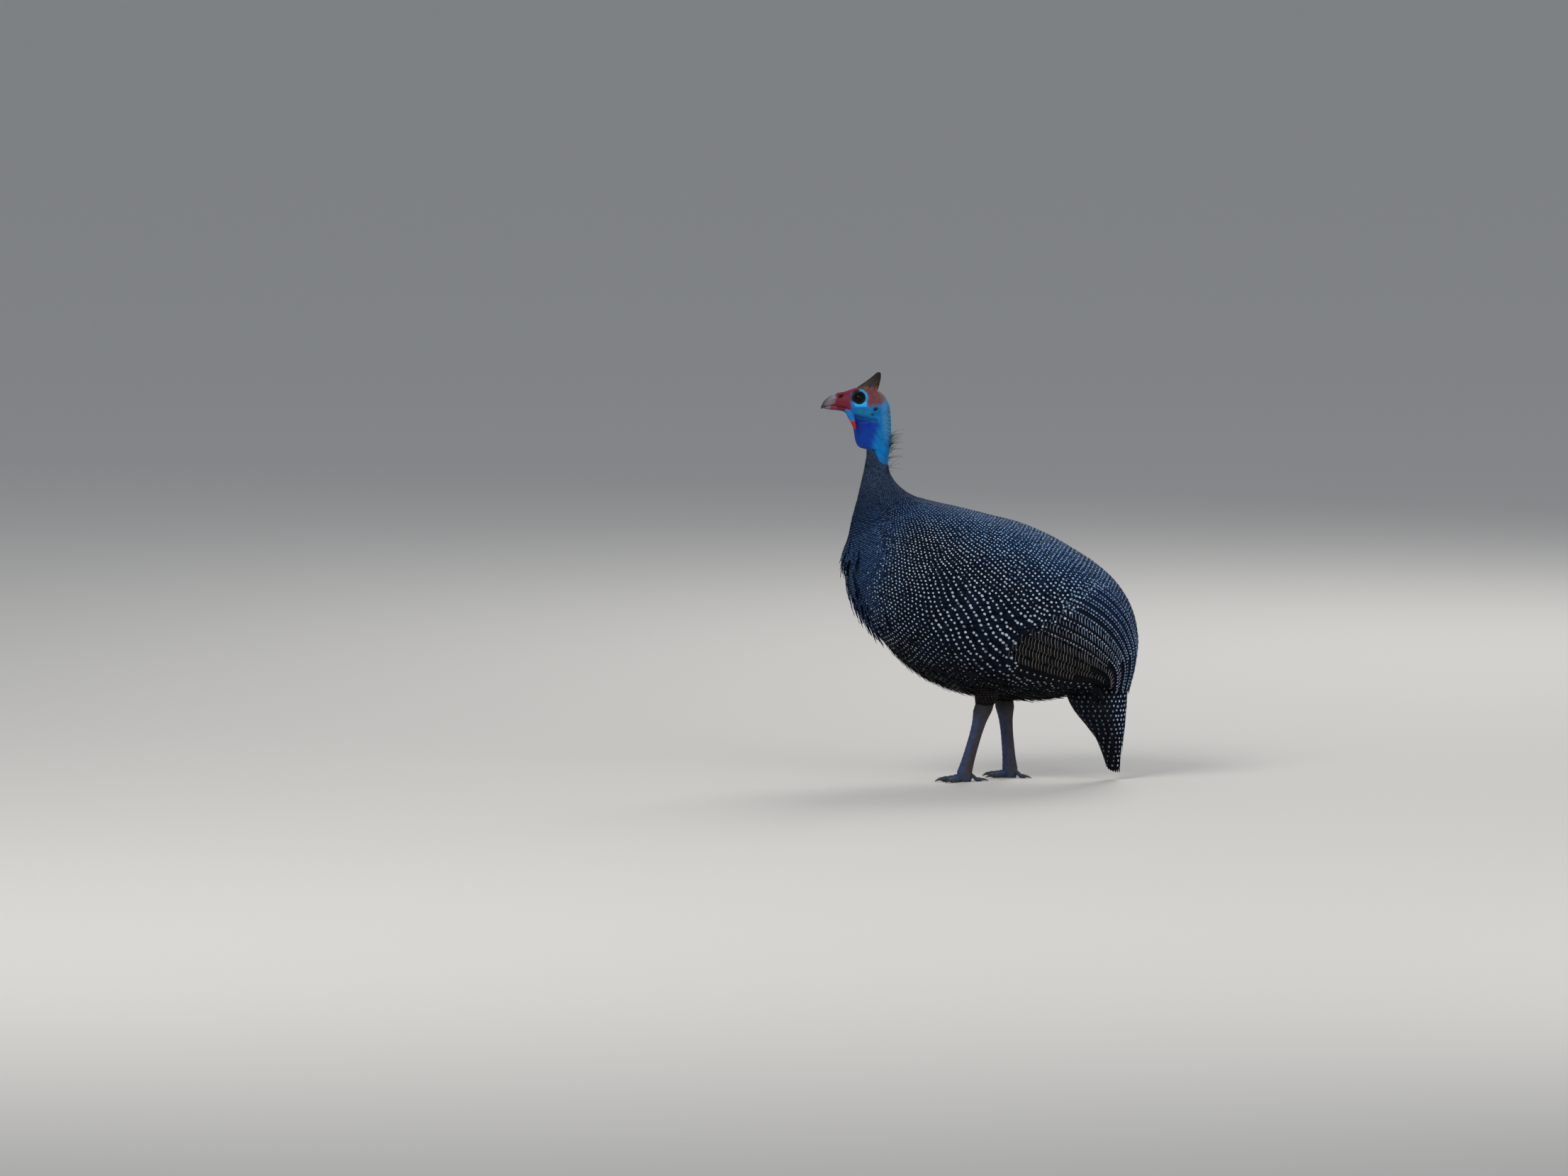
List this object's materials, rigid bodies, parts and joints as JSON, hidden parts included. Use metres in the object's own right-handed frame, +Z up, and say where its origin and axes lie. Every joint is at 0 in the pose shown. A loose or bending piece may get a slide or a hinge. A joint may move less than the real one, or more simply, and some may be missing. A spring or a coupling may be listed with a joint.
{
  "type": "helmeted guineafowl",
  "caption": "Life-size standing helmeted guineafowl: round spotted body, folded wings, hanging tail, bare blue neck, red face, wattles and a bony casque.",
  "frame": {"origin": "on the floor under the middle of the bird's bounding box", "axes": "+Z up, -X towards the bill, -Y towards the bird's left side"},
  "size_m": [0.3861, 0.1728, 0.497],
  "materials": {
    "plumage": "dark blue-black feathers with rows of pale spots",
    "blue_skin": "bare blue skin in soft folds",
    "red_skin": "bare dull red skin on the face and crown, blue round the eye",
    "horn": "grey-brown horn, worn and slightly glossy",
    "eye": "wet near-black brown",
    "leg_scale": "dark grey-brown scales, bluish in front",
    "claw": "dark horn"
  },
  "bodies": {
    "root": {"torso": "plumage", "neck": "plumage", "bare_neck": "blue_skin", "head": "red_skin", "casque": "horn", "bill_upper": "horn", "bill_lower": "horn", "tail": "plumage", "eye_left": "eye", "eye_right": "eye", "wattle_left": "blue_skin", "wattle_right": "blue_skin", "wing_left": "plumage", "wing_right": "plumage", "thigh_left": "plumage", "thigh_right": "plumage", "shank_left": "leg_scale", "shank_right": "leg_scale", "foot_left": "leg_scale", "foot_right": "leg_scale", "claw_left_inner": "claw", "claw_left_middle": "claw", "claw_left_outer": "claw", "claw_left_hind": "claw", "claw_right_inner": "claw", "claw_right_middle": "claw", "claw_right_outer": "claw", "claw_right_hind": "claw"}
  },
  "joints": []
}
